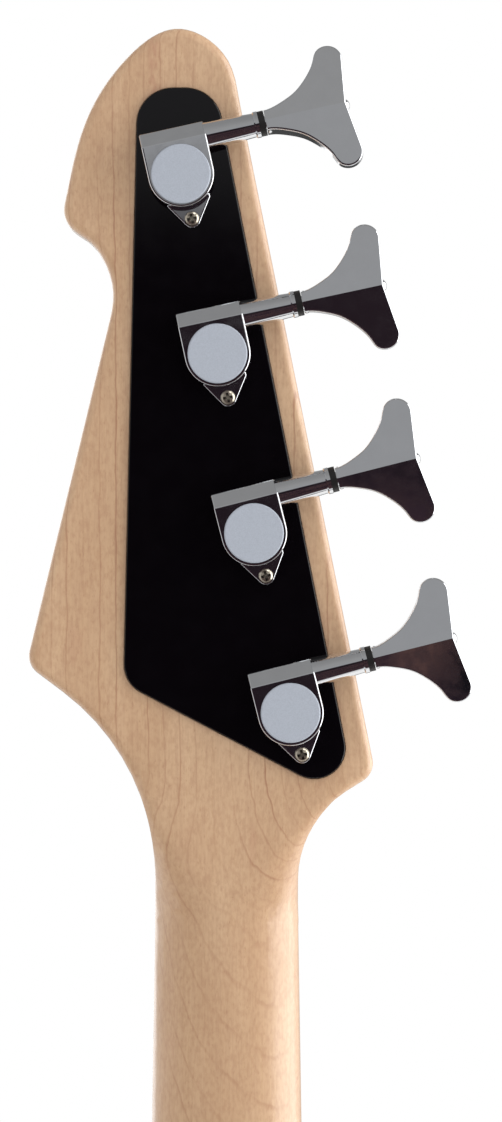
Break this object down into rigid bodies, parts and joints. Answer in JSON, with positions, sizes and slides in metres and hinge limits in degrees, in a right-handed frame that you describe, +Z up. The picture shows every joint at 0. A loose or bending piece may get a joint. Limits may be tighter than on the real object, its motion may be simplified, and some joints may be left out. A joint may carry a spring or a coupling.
{
  "type": "electric bass guitar",
  "caption": "Electric bass guitar with an in-line maple headstock, a black headstock plate, chrome worm tuners with fishtail keys, a bolted neck and a contoured body.",
  "frame": {"origin": "on the neck's centre line at the nut's fretboard face, on the fretboard's crown", "axes": "+Z up the neck to the headstock's tip, -Y out of the front (string side), +Y out of the back"},
  "size_m": [0.3232, 0.063, 1.2171],
  "materials": {
    "maple": "satin lacquer over straight-grained maple",
    "body_wood": "satin lacquer over open-grained wood",
    "rosewood": "oiled rosewood",
    "fret_wire": "polished nickel silver",
    "bone": "polished bone",
    "pearl": "pearl inlay",
    "rod_steel": "plain steel",
    "black_gloss": "gloss black",
    "chrome": "polished chrome plate",
    "satin_cover": "satin turned aluminium",
    "screw_brass": "nickel-washed brass",
    "black_nylon": "black nylon",
    "pickup_plastic": "satin black plastic",
    "coil_wire": "enamelled copper wire",
    "pole_steel": "ground magnet faces",
    "pot_metal": "zinc-plated steel",
    "string_steel": "wound nickel steel",
    "ball_brass": "turned brass"
  },
  "bodies": {
    "bass": {"neck": "maple", "body": "body_wood", "fretboard": "rosewood", "frets": "fret_wire", "nut": "bone", "position_markers": "pearl", "truss_rod": "rod_steel", "headstock_plate": "black_gloss", "truss_rod_cover": "black_gloss", "tuner_housing_E": "chrome", "tuner_housing_A": "chrome", "tuner_housing_D": "chrome", "tuner_housing_G": "chrome", "tuner_bushings": "chrome", "string_tree": "chrome", "neck_plate": "chrome", "neck_screws": "chrome", "bridge_plate": "chrome", "bridge_screws": "chrome", "control_plate": "chrome", "strap_buttons": "chrome", "small_screws": "chrome", "output_jack": "chrome", "tuner_gear_covers": "satin_cover", "tuner_screws": "screw_brass", "tuner_washers": "black_nylon", "pickup_covers": "pickup_plastic", "pickup_coils": "coil_wire", "pickup_pole_pieces": "pole_steel", "pots": "pot_metal", "string_E": "string_steel", "string_A": "string_steel", "string_D": "string_steel", "string_G": "string_steel", "string_ball_ends": "ball_brass"},
    "key_E": {"worm_shaft_E": "chrome", "tuner_key_E": "chrome"},
    "post_E": {"tuner_post_E": "chrome"},
    "key_A": {"worm_shaft_A": "chrome", "tuner_key_A": "chrome"},
    "post_A": {"tuner_post_A": "chrome"},
    "key_D": {"worm_shaft_D": "chrome", "tuner_key_D": "chrome"},
    "post_D": {"tuner_post_D": "chrome"},
    "key_G": {"worm_shaft_G": "chrome", "tuner_key_G": "chrome"},
    "post_G": {"tuner_post_G": "chrome"},
    "bridge_screw_E": {"intonation_screw_E": "chrome"},
    "saddle_block_E": {"saddle_E": "chrome"},
    "bridge_screw_A": {"intonation_screw_A": "chrome"},
    "saddle_block_A": {"saddle_A": "chrome"},
    "bridge_screw_D": {"intonation_screw_D": "chrome"},
    "saddle_block_D": {"saddle_D": "chrome"},
    "bridge_screw_G": {"intonation_screw_G": "chrome"},
    "saddle_block_G": {"saddle_G": "chrome"},
    "volume_control": {"knob_volume": "chrome"},
    "blend_control": {"knob_blend": "chrome"},
    "tone_control": {"knob_tone": "chrome"},
    "truss_adjuster": {"truss_rod_nut": "rod_steel"}
  },
  "joints": [
    {"name": "key_turn_E", "type": "hinge", "parent": "bass", "child": "key_E", "pos_m": [-0.01586, 0.0301, 0.06102], "axis": [-0.9699, 0, 0.2436], "continuous": true},
    {"name": "post_turn_E", "type": "hinge", "parent": "bass", "child": "post_E", "pos_m": [-0.0181, 0.0255, 0.0521], "axis": [0, 1, 0], "continuous": true},
    {"name": "key_turn_A", "type": "hinge", "parent": "bass", "child": "key_A", "pos_m": [-0.00558, 0.0301, 0.11149], "axis": [-0.9694, 0, 0.2453], "continuous": true},
    {"name": "post_turn_A", "type": "hinge", "parent": "bass", "child": "post_A", "pos_m": [-0.00783, 0.0255, 0.10257], "axis": [0, 1, 0], "continuous": true},
    {"name": "key_turn_D", "type": "hinge", "parent": "bass", "child": "key_D", "pos_m": [0.00436, 0.0301, 0.16203], "axis": [-0.9778, 0, 0.2096], "continuous": true},
    {"name": "post_turn_D", "type": "hinge", "parent": "bass", "child": "post_D", "pos_m": [0.00243, 0.0255, 0.15303], "axis": [0, 1, 0], "continuous": true},
    {"name": "key_turn_G", "type": "hinge", "parent": "bass", "child": "key_G", "pos_m": [0.01469, 0.0301, 0.21248], "axis": [-0.9763, 0, 0.2164], "continuous": true},
    {"name": "post_turn_G", "type": "hinge", "parent": "bass", "child": "post_G", "pos_m": [0.0127, 0.0255, 0.2035], "axis": [0, 1, 0], "continuous": true},
    {"name": "intonation_turn_E", "type": "hinge", "parent": "bass", "child": "bridge_screw_E", "pos_m": [-0.0247, -0.0009, -0.904], "axis": [0, 0, 1], "range_deg": [0, 5760.5]},
    {"name": "saddle_slide_E", "type": "slide", "parent": "bass", "child": "saddle_block_E", "axis": [0, 0, 1], "range_m": [0, 0.008]},
    {"name": "intonation_turn_A", "type": "hinge", "parent": "bass", "child": "bridge_screw_A", "pos_m": [-0.0057, -0.0009, -0.904], "axis": [0, 0, 1], "range_deg": [0, 5760.5]},
    {"name": "saddle_slide_A", "type": "slide", "parent": "bass", "child": "saddle_block_A", "axis": [0, 0, 1], "range_m": [0, 0.008]},
    {"name": "intonation_turn_D", "type": "hinge", "parent": "bass", "child": "bridge_screw_D", "pos_m": [0.0133, -0.0009, -0.904], "axis": [0, 0, 1], "range_deg": [0, 5760.5]},
    {"name": "saddle_slide_D", "type": "slide", "parent": "bass", "child": "saddle_block_D", "axis": [0, 0, 1], "range_m": [0, 0.008]},
    {"name": "intonation_turn_G", "type": "hinge", "parent": "bass", "child": "bridge_screw_G", "pos_m": [0.0323, -0.0009, -0.904], "axis": [0, 0, 1], "range_deg": [0, 5760.5]},
    {"name": "saddle_slide_G", "type": "slide", "parent": "bass", "child": "saddle_block_G", "axis": [0, 0, 1], "range_m": [0, 0.008]},
    {"name": "volume_turn", "type": "hinge", "parent": "bass", "child": "volume_control", "pos_m": [0.086, 0, -0.778], "axis": [0, -1, 0], "range_deg": [-150, 150]},
    {"name": "blend_turn", "type": "hinge", "parent": "bass", "child": "blend_control", "pos_m": [0.09635, 0, -0.81664], "axis": [0, -1, 0], "range_deg": [-150, 150]},
    {"name": "tone_turn", "type": "hinge", "parent": "bass", "child": "tone_control", "pos_m": [0.10671, 0, -0.85527], "axis": [0, -1, 0], "range_deg": [-150, 150]},
    {"name": "truss_nut_turn", "type": "hinge", "parent": "bass", "child": "truss_adjuster", "pos_m": [0, 0.014, 0.0192], "axis": [0, 0, 1], "range_deg": [-180, 180]}
  ],
  "couplings": [
    {"joint": "post_turn_E", "follows": "key_turn_E", "ratio": 0.05},
    {"joint": "post_turn_A", "follows": "key_turn_A", "ratio": 0.05},
    {"joint": "post_turn_D", "follows": "key_turn_D", "ratio": 0.05},
    {"joint": "post_turn_G", "follows": "key_turn_G", "ratio": 0.05},
    {"joint": "intonation_turn_E", "follows": "saddle_slide_E", "rad_per_m": 12566},
    {"joint": "intonation_turn_A", "follows": "saddle_slide_A", "rad_per_m": 12566},
    {"joint": "intonation_turn_D", "follows": "saddle_slide_D", "rad_per_m": 12566},
    {"joint": "intonation_turn_G", "follows": "saddle_slide_G", "rad_per_m": 12566}
  ]
}
